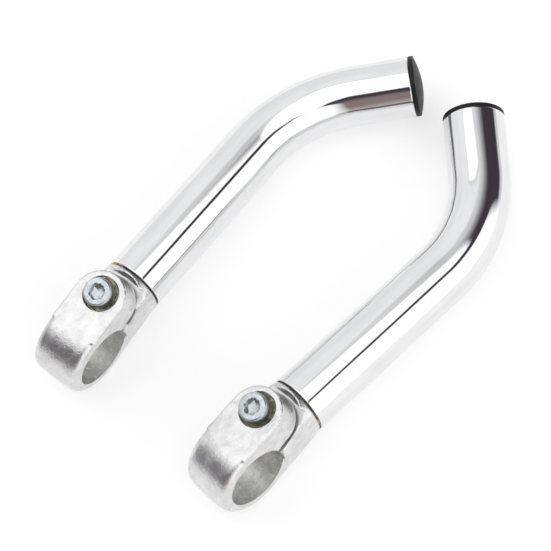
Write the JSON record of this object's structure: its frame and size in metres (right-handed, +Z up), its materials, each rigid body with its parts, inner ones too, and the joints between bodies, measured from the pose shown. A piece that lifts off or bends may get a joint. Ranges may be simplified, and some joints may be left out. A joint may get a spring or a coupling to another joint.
{
  "type": "bar end grips",
  "caption": "Bent polished tube grips with split clamp rings and pinch bolts that extend a flat handlebar forward at its ends; mirrored pair lying bolts up.",
  "frame": {"origin": "The middle of the lying pair, on the surface that it lies on.", "axes": "+Z is up, out of the surface. +X runs from the clamp rings to the bent tips. +Y is towards the left-hand grip, and the handlebar axes lie close to Y."},
  "size_m": [0.1776, 0.1076, 0.0394],
  "materials": {
    "cast_aluminium": "polished casting",
    "polished_aluminium": "mirror polished",
    "glue": "dried glue",
    "zinc_plate": "zinc plated",
    "black_plastic": "moulded"
  },
  "bodies": {
    "left_grip": {"left_clamp": "cast_aluminium", "left_tube": "polished_aluminium", "left_glue": "glue"},
    "left_washer": {"left_washer": "zinc_plate"},
    "left_bolt": {"left_bolt": "zinc_plate"},
    "left_end_plug": {"left_end_plug": "black_plastic"},
    "right_grip": {"right_clamp": "cast_aluminium", "right_tube": "polished_aluminium", "right_glue": "glue"},
    "right_washer": {"right_washer": "zinc_plate"},
    "right_bolt": {"right_bolt": "zinc_plate"},
    "right_end_plug": {"right_end_plug": "black_plastic"}
  },
  "joints": [
    {"name": "left_bolt_travel", "type": "slide", "parent": "left_grip", "child": "left_washer", "axis": [-0.277, -0.1084, 0.9547], "range_m": [0, 0.009]},
    {"name": "left_bolt_turn", "type": "hinge", "parent": "left_washer", "child": "left_bolt", "pos_m": [-0.05819, 0.03547, 0.03077], "axis": [-0.277, -0.1084, 0.9547], "range_deg": [0, 3240]},
    {"name": "left_end_plug_pull", "type": "slide", "parent": "left_grip", "child": "left_end_plug", "axis": [0.7149, -0.6946, 0.0797], "range_m": [0, 0.018]},
    {"name": "right_bolt_travel", "type": "slide", "parent": "right_grip", "child": "right_washer", "axis": [-0.277, 0.1084, 0.9547], "range_m": [0, 0.009]},
    {"name": "right_bolt_turn", "type": "hinge", "parent": "right_washer", "child": "right_bolt", "pos_m": [-0.05579, -0.03547, 0.03077], "axis": [-0.277, 0.1084, 0.9547], "range_deg": [0, 3240]},
    {"name": "right_end_plug_pull", "type": "slide", "parent": "right_grip", "child": "right_end_plug", "axis": [0.7149, 0.6946, 0.0797], "range_m": [0, 0.018]},
    {"name": "right_grip_lift", "type": "slide", "parent": "left_grip", "child": "right_grip", "axis": [0, 0, 1], "range_m": [0, 0.12]}
  ],
  "couplings": [
    {"joint": "left_bolt_turn", "follows": "left_bolt_travel", "rad_per_m": 6283.2},
    {"joint": "right_bolt_turn", "follows": "right_bolt_travel", "rad_per_m": 6283.2}
  ]
}
